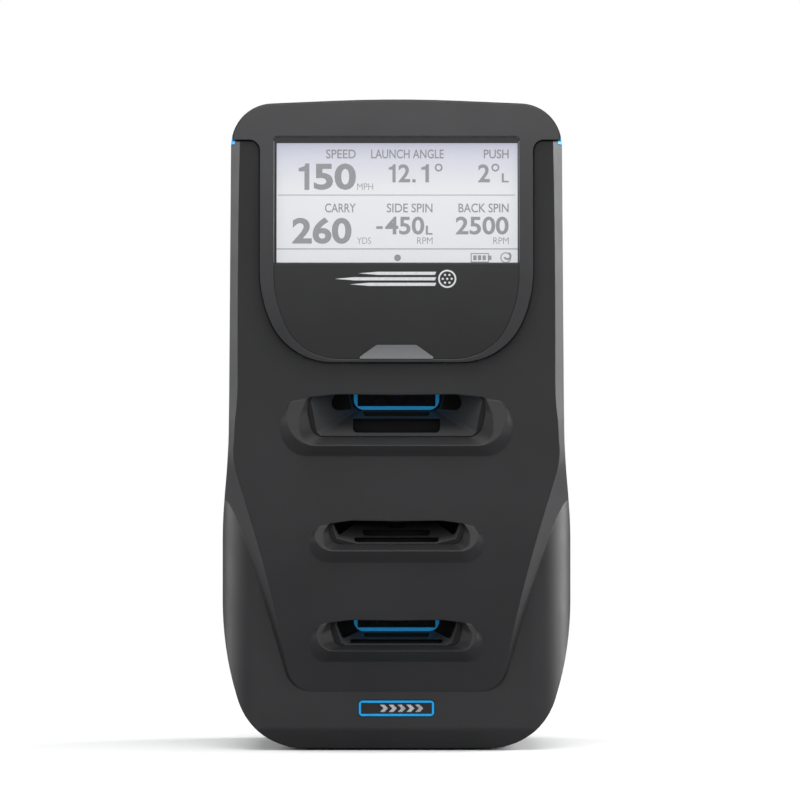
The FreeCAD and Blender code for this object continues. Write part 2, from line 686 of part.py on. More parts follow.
def rear_shell():
    body = shell.cut(seam_zone(half_gap))
    x_cover, z_cover = size("cover_width") / 2 + GAP, size("cover_foot")
    tall = size("cover_tall")
    bay = slab(-x_cover - 2, x_cover + 2, 38, REAR - 1, z_cover - 6, z_cover + tall + 4)
    bay_hollow = slab(-x_cover + 3, x_cover - 3, 36, REAR + 5, z_cover + 4, z_cover + tall - 3)
    cover_seat = slab(-x_cover, x_cover, REAR - 3.2, REAR + 5, z_cover - GAP,
                      z_cover + tall + GAP)
    hinge_slot = slab(-x_cover, x_cover, REAR - 7, REAR + 5, z_cover - 0.4, z_cover + 6.2)
    hinge_y, hinge_z = REAR - 2.6, z_cover + 2.6
    pin_hole = Part.makeCylinder(size("hinge_radius"), 66, Vector(-33, hinge_y, hinge_z),
                                 Vector(1, 0, 0))
    lugs = []
    for x in (-33, 23):
        lugs.append(Part.makeCylinder(2.5, 10, Vector(x, hinge_y, hinge_z), Vector(1, 0, 0)))
        lugs.append(slab(x, x + 10, hinge_y - 6, hinge_y, hinge_z - 2.5, hinge_z + 2.5))
    bosses = [post(4.4, x, z, seam_y + half_gap, 70) for x, z in POSTS]
    bosses = bosses[0].multiFuse(bosses[1:] + [grip_space(2.4), bay]).common(casing(0.9))
    bosses = bosses.cut(seam_zone(half_gap))
    wells = []
    for x, z in POSTS:
        wells += [post(3.1, x, z, seam_y + 10, 70), post(1.8, x, z, seam_y - 2, 40)]
    tray = plan_prism([(-37, 10, 5), (37, 10, 5), (37, 26, 5), (-37, 26, 5)],
                      size("button_top") - 1, CROWN + 5)
    button_holes = []
    for place in (-1, 0, 1):
        middle_x, middle_y = place * size("button_pitch"), size("button_line")
        half_x = size("button_width") / 2 + GAP
        half_y = size("button_deep") / 2 + GAP
        low_x, high_x = middle_x - half_x, middle_x + half_x
        low_y, high_y = middle_y - half_y, middle_y + half_y
        corners = [(low_x, low_y, 3), (high_x, low_y, 3), (high_x, high_y, 3),
                   (low_x, high_y, 3)]
        button_holes.append(plan_prism(corners, 295, CROWN + 5))
    beds = [strip_zone(0.1, side).common(strip_bed) for side in (-1, 1)]
    cuts = wells + [grip_space(0), bay_hollow, cover_seat, hinge_slot, tray, pod_hole, base_hole]
    body = body.fuse(bosses).cut(cuts[0].multiFuse(cuts[1:] + button_holes + beds))
    return body.multiFuse(lugs).cut(pin_hole)


def accent_strip(side):
    band = outer_form.cut(casing(size("strip_depth") - 0.1))
    return band.common(strip_zone(0, side)).cut(pod_hole)


def shell_gasket():
    band = casing(1.9).cut(casing(WALL - 0.1))
    ribbon = band.common(seam_zone(half_gap)).cut(seam_zone(-half_gap))
    return ribbon.cut(pod_hole.fuse(base_recess(GAP, -5, 9)))


shaped(front_shell(), "front_shell")
shaped(rear_shell(), "rear_shell")
shaped(accent_strip(-1), "left_accent_strip")
shaped(accent_strip(1), "right_accent_strip")
shaped(shell_gasket(), "shell_gasket")

# ---------------------------------------------------------- build: windows

clearance_form = casing(WALL + 0.2)
for name, window in WINDOWS.items():
    shaped(window_shroud(window, clearance_form), f"{name}_window_shroud")

RING_FEET = {"upper": 162.2, "lower": 56}
for name, foot in RING_FEET.items():
    plate(f"{name}_window_ring", "ring_width", "ring_tall", "ring_thick", "ring_corner",
          ("0", "ring_plane - ring_thick - 0.2", f"{foot} + 0.05 + ring_tall / 2"),
          opening=("ring_width - 2 * ring_band", "ring_tall - 2 * ring_band"))

camera_boards = []
for name in WINDOWS:
    axis = f"{name}_axis"
    plate(f"{name}_window_glass", "ring_width + 6", "ring_tall + 3", "glass_thick", "4",
          ("0", "ring_plane", axis))
    barrel = rod("barrel", "barrel_reach", "0", "spine_plane - 2.2 - barrel_reach", axis, TO_Y)
    eye = rod("barrel - 2", "3", "0", "spine_plane - 2.2 - barrel_reach - 1", axis, TO_Y)
    flange = block("18", "2.6", "18", "0", "spine_plane - 4.8", axis)
    node(cut(fused([barrel, flange]), [eye]), f"{name}_camera_lens")
    camera_boards.append(plate(
        f"{name}_camera_board", "camera_board_width", "camera_board_tall", "board", "1.5",
        ("0", "spine_plane - 0.2 - board", axis),
        holes=[("1.6", side * 19, up * 11) for side in (-1, 1) for up in (-1, 1)]))

for board in camera_boards:
    nodes.remove(board)
node(grouped(camera_boards), "camera_boards")

elements = []
for name in WINDOWS:
    elements.append(rod("barrel - 2.2", "1.6", "0", "spine_plane - 2.2 - barrel_reach + 0.3",
                        f"{name}_axis", TO_Y))
node(grouped(elements), "camera_lens_elements")

for name, foot in RING_FEET.items():
    axis = f"{name}_axis"
    plate(f"{name}_emitter_board", "44", "20", "board", "2", ("0", "-15", axis),
          holes=[("barrel + 0.6", 0, 0)])
    domes = []
    for across in (-14.5, -9.5, 9.5, 14.5):
        up = f"{foot} + 4.1"
        domes.append(fused([dome("emitter", str(across), "-15.2 - emitter", up),
                            rod("emitter", "emitter", str(across), "-15.2 - emitter", up, TO_Y),
                            rod("emitter + 0.4", "0.4", str(across), "-15.4", up, TO_Y)]))
    node(grouped(domes), f"{name}_infrared_emitters")

# ------------------------------------------------------- build: display pod

bezel, fascia, window_pane = pod_shapes()
lens_prism = front_prism(STATUS_LENS, -70, FACE)
lens_front = behind_pod_face(-0.2).cut(behind_pod_face(2.6))
shaped(bezel, "display_bezel")
shaped(fascia.cut(front_prism(inset(STATUS_LENS, -0.12), -70, FACE)), "display_fascia")
shaped(window_pane, "display_window")
shaped(lens_prism.common(lens_front), "status_light_lens")
plate("status_light_board", "30", "9", "board", "1", ("0", "main_face - 2.6", "191.5"))
plate("display_panel", "screen_width", "screen_tall", "screen_thick", "0.8",
      ("0", "screen_plane", "screen_centre"))
plate("display_gasket", "screen_width", "screen_tall", "0.5", "0.8",
      ("0", "screen_plane - 0.5", "screen_centre"),
      opening=("screen_width - 2.4", "screen_tall - 2.4"))
tray_back = block("screen_width + 1", "1.2", "screen_tall + 1", "0",
                  "screen_plane + screen_thick", "screen_centre")
tabs = [block("8", "1.2", "5", f"{side} * screen_width / 2.4", "screen_plane + screen_thick",
              "screen_centre - screen_tall / 2 - 2.5") for side in (-1, 1)]
node(fused([tray_back] + tabs), "display_tray")
plate("display_board", "100", "40", "board", "2",
      ("0", "screen_plane + screen_thick + 5.4", "screen_centre"))

# ------------------------------------------------------------- build: badge

plate("badge_ring", "badge_width", "badge_tall", "1.5", "badge_corner",
      ("0", "chin_face - 0.5", "badge_centre"),
      opening=("badge_width - 2 * badge_band", "badge_tall - 2 * badge_band"))
plate("badge_plate", "badge_width - 2 * badge_band - 0.2", "badge_tall - 2 * badge_band - 0.2",
      "1.2", "badge_corner - badge_band", ("0", "chin_face - 0.2", "badge_centre"))

# -------------------------------------------------------- build: electronics

spine = block("spine_width", "spine_thick", "spine_tall", "0", "spine_plane", "30 + spine_tall / 2")
spine_cuts = [block("26", "spine_thick + 2", "12", "0", "spine_plane - 1", f"{name}_axis")
              for name in WINDOWS]
ribs = [block("3", "9", "spine_tall", f"{side} * (spine_width / 2 - 1.5)",
              "spine_plane + spine_thick", "30 + spine_tall / 2") for side in (-1, 1)]
ledges = [block("spine_width", "9", "3", "0", "spine_plane + spine_thick", up)
          for up in ("31.5", "28.5 + spine_tall")]
node(cut(fused([spine] + ribs + ledges), spine_cuts), "optical_spine")

plate("main_board", "86", "120", "board", "3", ("0", "9", "140"),
      holes=[("1.7", side * 38, up * 54) for side in (-1, 1) for up in (-1, 1)])
chips = [block("22", "1.6", "22", "-14", "10.6", "160"), block("16", "1.4", "16", "18", "10.6", "158"),
         block("12", "1.2", "18", "-20", "10.6", "122"), block("14", "1", "9", "20", "10.6", "128")]
node(grouped(chips), "processor_chips")
fin_base = block("58", "2", "34", "0", "12.2", "160")
fins = [block("1.6", "7", "34", f"{4.7 * i}", "14", "160") for i in range(-6, 7)]
node(fused([fin_base] + fins), "heat_sink")
plate("power_board", "78", "30", "board", "2", ("0", "28", "41"))
plate("battery_bracket", "104", "62", "1.5", "3", ("0", "20.4", "94"),
      holes=[("1.7", side * 47, up * 26) for side in (-1, 1) for up in (-1, 1)])
cells = []
for across in (-26, 0, 26):
    cells.append(rod("11", "56", f"{across} * 0.9", "34", "66"))
node(grouped(cells), "battery_cells")
wrap = block("74", "25.6", "58", "0", "21.9", "94")
bores = [rod("11.1", "56.2", f"{across} * 0.9", "34", "65.9") for across in (-26, 0, 26)]
node(cut(wrap, bores), "battery_case")
node(block("44", "1.2", "12", "0", "30", "293"), "wireless_antenna")

# ------------------------------------------------------- build: sockets and cover

jack_body = block("11", "13", "11", "-22", "socket_plane - 13", "39")
jack_bore = rod("2.75", "9", "-22", "socket_plane - 9", "39", TO_Y)
jack_pin = rod("1", "8", "-22", "socket_plane - 9.5", "39", TO_Y)
node(fused([cut(jack_body, [jack_bore]), jack_pin]), "power_socket")
usb_shell = block("9.4", "9", "3.7", "-1", "socket_plane - 9", "37")
usb_bore = block("8.6", "7", "2.9", "-1", "socket_plane - 7", "37")
usb_tongue = block("6.6", "6", "0.8", "-1", "socket_plane - 7.2", "37")
node(fused([cut(usb_shell, [usb_bore]), usb_tongue]), "data_socket")
net_shell = block("16", "15", "13.4", "20", "socket_plane - 15", "38")
net_bore = block("12", "12", "8", "20", "socket_plane - 12", "38.5")
net_notch = block("5", "12", "3", "20", "socket_plane - 12", "33.5")
node(cut(net_shell, [net_bore, net_notch]), "network_socket")

HINGE_DEPTH, HINGE_UP = "body_depth / 2 - 2.6", "cover_foot + 2.6"
leaf = block("cover_width", "cover_thick", "cover_tall - 6.2", "0", "body_depth / 2 - cover_thick",
             "cover_foot + 6.2 + (cover_tall - 6.2) / 2")
tongue = block("44", "cover_thick", "6", "0", "body_depth / 2 - cover_thick", "cover_foot + 4.4")
knuckle = rod("2.2", "44", "-22", HINGE_DEPTH, HINGE_UP, TO_X)
knuckle_bore = rod("hinge_radius + 0.06", "80", "-40", HINGE_DEPTH, HINGE_UP, TO_X)
pull = block("16", "1.4", "2", "0", "body_depth / 2 - 1", "cover_foot + cover_tall - 1")
node(cut(fused([leaf, tongue, knuckle]), [knuckle_bore, pull]), "port_cover")
node(rod("hinge_radius", "65", "-32.5", HINGE_DEPTH, HINGE_UP, TO_X), "port_cover_pin")

# ------------------------------------------------------------ build: buttons

for i, name in enumerate(("left_button", "power_button", "right_button")):
    across = f"{i - 1} * button_pitch"
    cap = plate(name, "button_width", "button_deep", "button_cap", "3",
                (across, "button_line", "button_top - button_cap"), lies=True)
    nodes.remove(cap)
    stem = rod("1.8", "6.7 - button_travel", across, "button_line",
               "button_top - 9.5 + button_travel")
    collar = block("button_width + 1.6", "button_deep + 1.6", "1", across,
                   "button_line - button_deep / 2 - 0.8", "button_top - button_cap - 0.6")
    cap.Label = name + "_cap"
    node(fused([cap, stem, collar]), name)
plate("button_board", "70", "16", "board", "1.5", ("0", "button_line", "button_top - 13.8"),
      lies=True)
switches = [block("6", "6", "2.6", f"{i} * button_pitch", "button_line - 3",
                  "button_top - 12.2 + 1.3") for i in (-1, 0, 1)]
node(grouped(switches), "button_switches")

# --------------------------------------------------------------- build: base

base = base_recess(0, UNDER, UNDER + size("base_thick"))
for side in (-1, 1):
    base = base.cut(Part.makeCylinder(size("foot_radius") + 0.15, 1, Vector(
        side * size("foot_spread"), size("front_foot_depth"), UNDER - 0.2)))
cup_centre = Vector(0, size("level_depth"), UNDER)
cup = Part.makeCylinder(size("level_radius") + 3, 9, cup_centre)
cup_bores = [Part.makeCylinder(size("level_radius") + 0.5, 3.6, cup_centre - Vector(0, 0, 0.8)),
             Part.makeCylinder(size("stud_radius") + 2, 20, cup_centre)]
corner_bores = [Part.makeCylinder(1.7, 20, Vector(x, y, -5)) for x, y in BASE_SCREWS]
shaped(base.fuse(cup).cut(cup_bores[0].multiFuse(cup_bores[1:] + corner_bores)), "base_plate")
feet = [rod("foot_radius", "foot_thick - 0.2", f"{side} * foot_spread", "front_foot_depth", "0")
        for side in (-1, 1)]
node(grouped(feet), "front_feet")

insert = cut(rod("stud_radius + 2", "6", "0", "level_depth", "3.7"),
             [rod("stud_radius + 0.15", "12", "0", "level_depth", "0")])
node(insert, "levelling_insert")
stud = rod("stud_radius", "20", "0", "level_depth", "4")
neck = rod("1", "2.4", "0", "level_depth", "2.2")
ball = dome("1.5", "0", "level_depth", "1.9")
node(fused([stud, neck, ball]), "levelling_screw")
pad = rod("level_radius", "2", "0", "level_depth", "0")
hub = rod("4", "1.4", "0", "level_depth", "1.8")
socket = [dome("1.65", "0", "level_depth", "1.9"), rod("1.2", "3", "0", "level_depth", "1.9")]
node(cut(fused([pad, hub]), socket), "levelling_pad")

# ---------------------------------------------------------- build: fasteners

screws = []
for x, z in POSTS:
    head_y = "seam_depth + 10.2"
    screws.append(cut(
        fused([rod("head_radius", "head_tall", f"{x}", head_y, f"{z}", TO_Y),
               rod("screw_radius - 0.3", "22", f"{x}", "seam_depth - 11.8", f"{z}", TO_Y)]),
        [block("1.8", "1.2", "1.8", f"{x}", "seam_depth + 11.2", f"{z}")]))
node(grouped(screws), "shell_screws")
base_screws = [rod("screw_radius", "7", f"{x}", f"{y}", "underside + 0.1")
               for x, y in BASE_SCREWS]
node(grouped(base_screws), "base_screws")
plate("grip_pad", "grip_width - 16", "grip_brow - grip_foot - 10", "1.6", "4",
      ("0", "grip_back + 0.05", "(grip_brow + grip_foot) / 2"))

# -------------------------------------------------------------- check, write

doc.recompute()
for thing in doc.Objects:
    if {"Invalid", "Error"} & set(thing.State):
        raise RuntimeError(f"{thing.Label} did not build: {thing.State}")
for thing in nodes:
    if thing.Shape.isNull() or not thing.Shape.isValid():
        raise RuntimeError(f"{thing.Label} has no valid shape")

os.makedirs("parts", exist_ok=True)
for thing in nodes:
    thing.Shape.exportStep(f"parts/{thing.Label}.step")
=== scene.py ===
"""Looks for an upright, camera-based golf launch monitor.

The casing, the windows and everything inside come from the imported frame. Here every
node gets a procedural material, and the printed and displayed details are built: the
measurements on the display, the marks on the fascia, badge and buttons, and the ribs
of the carry pad. Metres, +Z up, and the camera side faces -Y. Artwork is laid out in
millimetres.
"""

import json
import math

import bmesh
import bpy
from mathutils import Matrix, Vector


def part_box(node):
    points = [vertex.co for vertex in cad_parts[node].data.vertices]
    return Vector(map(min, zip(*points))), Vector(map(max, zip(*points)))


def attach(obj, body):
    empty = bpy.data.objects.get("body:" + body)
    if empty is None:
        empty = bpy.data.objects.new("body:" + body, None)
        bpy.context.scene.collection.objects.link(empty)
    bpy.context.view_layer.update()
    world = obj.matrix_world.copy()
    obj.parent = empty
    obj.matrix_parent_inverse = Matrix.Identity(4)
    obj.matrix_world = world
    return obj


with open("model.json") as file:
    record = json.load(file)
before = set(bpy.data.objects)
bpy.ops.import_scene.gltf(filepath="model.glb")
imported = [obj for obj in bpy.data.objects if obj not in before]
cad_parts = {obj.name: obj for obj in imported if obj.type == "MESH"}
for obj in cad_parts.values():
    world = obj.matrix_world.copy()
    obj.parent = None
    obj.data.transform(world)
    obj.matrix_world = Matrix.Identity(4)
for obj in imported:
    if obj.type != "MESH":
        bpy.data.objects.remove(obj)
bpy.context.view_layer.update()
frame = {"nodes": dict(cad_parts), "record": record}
NODES = frame["nodes"]
MM = 0.001

scene = bpy.context.scene
scene.view_settings.view_transform = "Standard"


# ------------------------------------------------------------ camera and stage

def add_camera():
    """Long lens, level, a little over half way up the object."""
    data = bpy.data.cameras.new("camera")
    data.sensor_width = 36
    data.lens = 225.8
    camera = bpy.data.objects.new("camera", data)
    camera.location = (0.00167, -2.43, 0.167)
    camera.rotation_euler = (math.radians(90), 0, 0)
    scene.collection.objects.link(camera)
    scene.camera = camera


def add_softbox(name, place, width, height, radiance):
    """Rectangular light that faces the object; its power follows from its radiance."""
    data = bpy.data.lights.new(name, "AREA")
    data.shape = "RECTANGLE"
    data.size, data.size_y = width, height
    data.energy = radiance * math.pi * width * height
    light = bpy.data.objects.new(name, data)
    light.location = place
    way = MIDDLE - light.location
    light.rotation_euler = way.to_track_quat("-Z", "Y").to_euler()
    light.visible_camera = False
    scene.collection.objects.link(light)


def seen_directly(tree):
    """1 where a surface is looked at, 0 where it only lights the object."""
    return tree.nodes.new("ShaderNodeLightPath").outputs["Is Camera Ray"]


def add_world():
    """White surroundings that light the object only dimly."""
    world = bpy.data.worlds.new("studio")
    world.use_nodes = True
    tree = world.node_tree
    ambient = tree.nodes["Background"]
    ambient.inputs["Color"].default_value = (0.93, 0.96, 1, 1)
    ambient.inputs["Strength"].default_value = 0.17
    white = tree.nodes.new("ShaderNodeBackground")
    white.inputs["Color"].default_value = (1, 1, 1, 1)
    mix = tree.nodes.new("ShaderNodeMixShader")
    tree.links.new(seen_directly(tree), mix.inputs[0])
    tree.links.new(ambient.outputs[0], mix.inputs[1])
    tree.links.new(white.outputs[0], mix.inputs[2])
    tree.links.new(mix.outputs[0], tree.nodes["World Output"].inputs[0])
    scene.world = world


def floor_material():
    """Pale paper that fades out before its edge and bounces little light."""
    mat = bpy.data.materials.new("floor_paper")
    mat.use_nodes = True
    tree = mat.node_tree
    paper = tree.nodes["Principled BSDF"]
    paper.inputs["Base Color"].default_value = (0.9, 0.9, 0.9, 1)
    paper.inputs["Roughness"].default_value = 0.9
    dim = tree.nodes.new("ShaderNodeBsdfDiffuse")
    dim.inputs["Color"].default_value = (0.32, 0.32, 0.33, 1)
    clear = tree.nodes.new("ShaderNodeBsdfTransparent")
    coords = tree.nodes.new("ShaderNodeTexCoord")
    radius = tree.nodes.new("ShaderNodeVectorMath")
    radius.operation = "LENGTH"
    fade = tree.nodes.new("ShaderNodeMapRange")
    fade.interpolation_type = "SMOOTHSTEP"
    fade.inputs["From Min"].default_value = 0.22
    fade.inputs["From Max"].default_value = 0.85
    surface = tree.nodes.new("ShaderNodeMixShader")
    whole = tree.nodes.new("ShaderNodeMixShader")
    tree.links.new(coords.outputs["Object"], radius.inputs[0])
    tree.links.new(radius.outputs["Value"], fade.inputs["Value"])
    tree.links.new(seen_directly(tree), surface.inputs[0])
    tree.links.new(dim.outputs[0], surface.inputs[1])
    tree.links.new(paper.outputs[0], surface.inputs[2])
    tree.links.new(fade.outputs["Result"], whole.inputs[0])
    tree.links.new(surface.outputs[0], whole.inputs[1])
    tree.links.new(clear.outputs[0], whole.inputs[2])
    tree.links.new(whole.outputs[0], tree.nodes["Material Output"].inputs[0])
    return mat


def add_floor():
    form = bmesh.new()
    bmesh.ops.create_circle(form, cap_ends=True, radius=0.9, segments=96)
    mesh = bpy.data.meshes.new("floor")
    form.to_mesh(mesh)
    form.free()
    mesh.materials.append(floor_material())
    floor = bpy.data.objects.new("floor", mesh)
    floor.location.z = -0.0002
    scene.collection.objects.link(floor)


MIDDLE = Vector((0, 0, 0.16))
add_camera()
add_world()
add_floor()
add_softbox("overhead", (0, -0.55, 1.5), 1.6, 1.3, 3.3)
add_softbox("front", (0, -3.2, 1.35), 3.4, 2.0, 1.25)
add_softbox("left", (-1.5, 0.35, 0.6), 0.9, 1.4, 4.2)
add_softbox("right", (1.5, 0.35, 0.6), 0.9, 1.4, 9.0)
add_softbox("low_left", (-1.6, -0.55, 0.3), 0.7, 0.6, 1.8)
add_softbox("low_right", (1.6, -0.55, 0.3), 0.7, 0.6, 2.8)
add_softbox("fill_left", (-1.3, -2.3, 0.35), 0.7, 0.5, 2.0)
add_softbox("fill_right", (1.3, -2.3, 0.35), 0.7, 0.5, 2.0)
add_softbox("rear", (0, 2.6, 1.2), 2.6, 1.6, 0.8)


# ------------------------------------------------------------ material pieces

def principled(name, color, roughness, metallic=0.0):
    mat = bpy.data.materials.new(name)
    mat.use_nodes = True
    shader = mat.node_tree.nodes["Principled BSDF"]
    shader.inputs["Base Color"].default_value = (*color, 1)
    shader.inputs["Roughness"].default_value = roughness
    shader.inputs["Metallic"].default_value = metallic
    return mat, shader


def noise(mat, scale, detail=2.0, stretch=(1, 1, 1)):
    """Noise fixed to the object; the scale is in features per metre."""
    tree = mat.node_tree
    coords = tree.nodes.new("ShaderNodeTexCoord")
    mapping = tree.nodes.new("ShaderNodeMapping")
    mapping.inputs["Scale"].default_value = stretch
    texture = tree.nodes.new("ShaderNodeTexNoise")
    texture.inputs["Scale"].default_value = scale
    texture.inputs["Detail"].default_value = detail
    tree.links.new(coords.outputs["Object"], mapping.inputs["Vector"])
    tree.links.new(mapping.outputs["Vector"], texture.inputs["Vector"])
    return texture.outputs["Fac"]


def height_of(mat, low, high):
    """0 at the lower height and 1 at the upper one, fixed to the object."""
    tree = mat.node_tree
    coords = tree.nodes.new("ShaderNodeTexCoord")
    parts = tree.nodes.new("ShaderNodeSeparateXYZ")
    spread = tree.nodes.new("ShaderNodeMapRange")
    spread.inputs["From Min"].default_value = low
    spread.inputs["From Max"].default_value = high
    tree.links.new(coords.outputs["Object"], parts.inputs[0])
    tree.links.new(parts.outputs["Z"], spread.inputs["Value"])
    return spread.outputs["Result"]


def ramp(mat, source, stops, socket):
    """Colour a socket from a 0 to 1 source through (place, colour) stops."""
    tree = mat.node_tree
    node = tree.nodes.new("ShaderNodeValToRGB")
    elements = node.color_ramp.elements
    while len(elements) < len(stops):
        elements.new(0.5)
    for element, (place, color) in zip(elements, stops):
        element.position = place
        element.color = (*color, 1)
    tree.links.new(source, node.inputs["Fac"])
    tree.links.new(node.outputs["Color"], socket)


def spread_to(mat, source, low, high, socket):
    """Drive a number socket between two values from noise around one half."""
    tree = mat.node_tree
    node = tree.nodes.new("ShaderNodeMapRange")
    node.inputs["From Min"].default_value = 0.3
    node.inputs["From Max"].default_value = 0.7
    node.inputs["To Min"].default_value = low
    node.inputs["To Max"].default_value = high
    tree.links.new(source, node.inputs["Value"])
    tree.links.new(node.outputs["Result"], socket)


def relief(mat, shader, height, depth, rounding=0.0):
    """Bump of a depth in metres, over edges rounded by a radius in metres."""
    tree = mat.node_tree
    bump = tree.nodes.new("ShaderNodeBump")
    bump.inputs["Strength"].default_value = 1
    bump.inputs["Distance"].default_value = depth
    tree.links.new(height, bump.inputs["Height"])
    if rounding:
        bevel = tree.nodes.new("ShaderNodeBevel")
        bevel.samples = 6
        bevel.inputs["Radius"].default_value = rounding
        tree.links.new(bevel.outputs["Normal"], bump.inputs["Normal"])
    tree.links.new(bump.outputs["Normal"], shader.inputs["Normal"])


def shade(color, share):
    return tuple(channel * share for channel in color)


# ------------------------------------------------------------ materials

def moulded(name, color, roughness, grain=0.000012, rounding=0.0004):
    """Moulded plastic: spark-eroded grain, faint flow variation, soft edges."""
    mat, shader = principled(name, color, roughness)
    ramp(mat, noise(mat, 26, 3), [(0.35, shade(color, 0.9)), (0.65, shade(color, 1.12))],
         shader.inputs["Base Color"])
    spread_to(mat, noise(mat, 70, 4), roughness - 0.03, roughness + 0.04,
              shader.inputs["Roughness"])
    relief(mat, shader, noise(mat, 2400, 2), grain, rounding)
    return mat


def front_shaded_shroud(name, sloping, upright):
    """Satin moulding with painted light and shade: faces that look to the front are painted dark,
    sloping faces lighter.
    """
    mat, shader = principled(name, sloping, 0.36)
    tree = mat.node_tree
    facing = tree.nodes.new("ShaderNodeSeparateXYZ")
    shape = tree.nodes.new("ShaderNodeNewGeometry")
    tree.links.new(shape.outputs["True Normal"], facing.inputs[0])
    # painted shade: 0 on faces that look to the front, which take the dark colour, 1 on sloping
    # faces, which take the lighter one
    upright_shade = tree.nodes.new("ShaderNodeMapRange")
    upright_shade.inputs["From Min"].default_value = -0.97
    upright_shade.inputs["From Max"].default_value = -0.8
    tree.links.new(facing.outputs["Y"], upright_shade.inputs["Value"])
    ramp(mat, upright_shade.outputs["Result"], [(0, upright), (1, sloping)], shader.inputs["Base Color"])
    ramp(mat, upright_shade.outputs["Result"], [(0, (0.9, 0.9, 0.9)), (1, (0.36, 0.36, 0.36))],
         shader.inputs["Roughness"])
    ramp(mat, upright_shade.outputs["Result"], [(0, (0.12, 0.12, 0.12)), (1, (0.5, 0.5, 0.5))],
         shader.inputs["Specular IOR Level"])
    relief(mat, shader, noise(mat, 2400, 2), 0.00001, 0.0002)
    return mat


def polished(name, color, roughness, rounding=0.0003):
    """Polished plastic with the slight waviness of a moulding."""
    mat, shader = principled(name, color, roughness)
    shader.inputs["Coat Weight"].default_value = 0.3
    shader.inputs["Coat Roughness"].default_value = 0.05
    ramp(mat, noise(mat, 40), [(0.3, shade(color, 0.92)), (0.7, shade(color, 1.08))],
         shader.inputs["Base Color"])
    relief(mat, shader, noise(mat, 60, 1), 0.000004, rounding)
    return mat


def rubber(name, color):
    """Matte silicone rubber with a fine skin and a dusty bloom."""
    mat, shader = principled(name, color, 0.75)
    shader.inputs["Sheen Weight"].default_value = 0.25
    shader.inputs["Sheen Roughness"].default_value = 0.5
    ramp(mat, noise(mat, 180, 4), [(0.3, shade(color, 0.85)), (0.7, shade(color, 1.25))],
         shader.inputs["Base Color"])
    relief(mat, shader, noise(mat, 1500, 3), 0.00002, 0.0004)
    return mat


def metal(name, color, roughness, stretch=(1, 1, 1)):
    """Metal whose fine lines run along the least stretched axis."""
    mat, shader = principled(name, color, roughness, 1.0)
    lines = noise(mat, 420, 3, stretch)
    spread_to(mat, lines, roughness - 0.08, roughness + 0.1, shader.inputs["Roughness"])
    ramp(mat, noise(mat, 60, 3), [(0.3, shade(color, 0.88)), (0.7, shade(color, 1.0))],
         shader.inputs["Base Color"])
    relief(mat, shader, lines, 0.000006, 0.0002)
    return mat


def solder_mask():
    """Green circuit board with a faint weave under the mask."""
    color = (0.012, 0.1, 0.042)
    mat, shader = principled("solder_mask", color, 0.35)
    shader.inputs["Coat Weight"].default_value = 0.4
    ramp(mat, noise(mat, 600, 1, (1, 0.2, 1)),
         [(0.4, shade(color, 0.8)), (0.6, shade(color, 1.2))], shader.inputs["Base Color"])
    relief(mat, shader, noise(mat, 900, 1), 0.00001)
    return mat


def tinted_glass():
    """Glass that looks nearly black and passes infrared."""
    mat, shader = principled("tinted_glass", (0.006, 0.006, 0.009), 0.04)
    shader.inputs["Alpha"].default_value = 0.5
    shader.inputs["IOR"].default_value = 1.3
    spread_to(mat, noise(mat, 120, 3), 0.02, 0.07, shader.inputs["Roughness"])
    return mat


def coated_glass():
    """Lens element with a purple coating."""
    mat, shader = principled("coated_glass", (0.16, 0.12, 0.3), 0.02)
    shader.inputs["Coat Weight"].default_value = 1
    shader.inputs["Coat Tint"].default_value = (0.5, 0.3, 0.9, 1)
    spread_to(mat, noise(mat, 200, 2), 0.01, 0.05, shader.inputs["Roughness"])
    return mat


def display_pane():
    """Clear anti-glare pane over the display."""
    mat, shader = principled("display_pane", (0.9, 0.92, 0.95), 0.12)
    shader.inputs["Alpha"].default_value = 0.06
    spread_to(mat, noise(mat, 300, 3), 0.1, 0.16, shader.inputs["Roughness"])
    return mat


def display_glow_and_shade():
    """Lit display: a cool white, with painted shade from its frame's top edge that makes it bluer
    and a little darker towards the top.
    """
    mat, shader = principled("display_glow_and_shade", (0.2, 0.2, 0.21), 0.35)
    low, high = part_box("display_panel")
    # painted shade: the top of the display is darker and bluer where its frame's shadow falls
    stops = [(0.0, (0.78, 0.79, 0.82)), (0.6, (0.83, 0.84, 0.86)), (0.98, (0.56, 0.575, 0.72))]
    ramp(mat, height_of(mat, low.z, high.z), stops, shader.inputs["Emission Color"])
    shader.inputs["Emission Strength"].default_value = 0.75
    relief(mat, shader, noise(mat, 3000, 1), 0.000004)
    return mat


def display_ink():
    """Dark grey pixels of the display."""
    color = (0.14, 0.14, 0.148)
    mat, shader = principled("display_ink", color, 0.5)
    shader.inputs["Emission Color"].default_value = (0.22, 0.22, 0.23, 1)
    shader.inputs["Emission Strength"].default_value = 0.6
    ramp(mat, noise(mat, 2500, 1), [(0.3, shade(color, 0.9)), (0.7, shade(color, 1.1))],
         shader.inputs["Base Color"])
    return mat


def painted_gap_shade():
    """Black for the painted shade along the edges of the display."""
    # painted shade: black where the frame shades the display's edges
    mat, shader = principled("painted_gap_shade", (0.012, 0.012, 0.012), 0.5)
    spread_to(mat, noise(mat, 500, 3), 0.45, 0.6, shader.inputs["Roughness"])
    return mat


def white_print():
    """Pad-printed white, very slightly uneven."""
    mat, shader = principled("white_print", (0.85, 0.85, 0.85), 0.4)
    ramp(mat, noise(mat, 700, 3), [(0.3, (0.78, 0.78, 0.78)), (0.7, (0.9, 0.9, 0.9))],
         shader.inputs["Base Color"])
    return mat


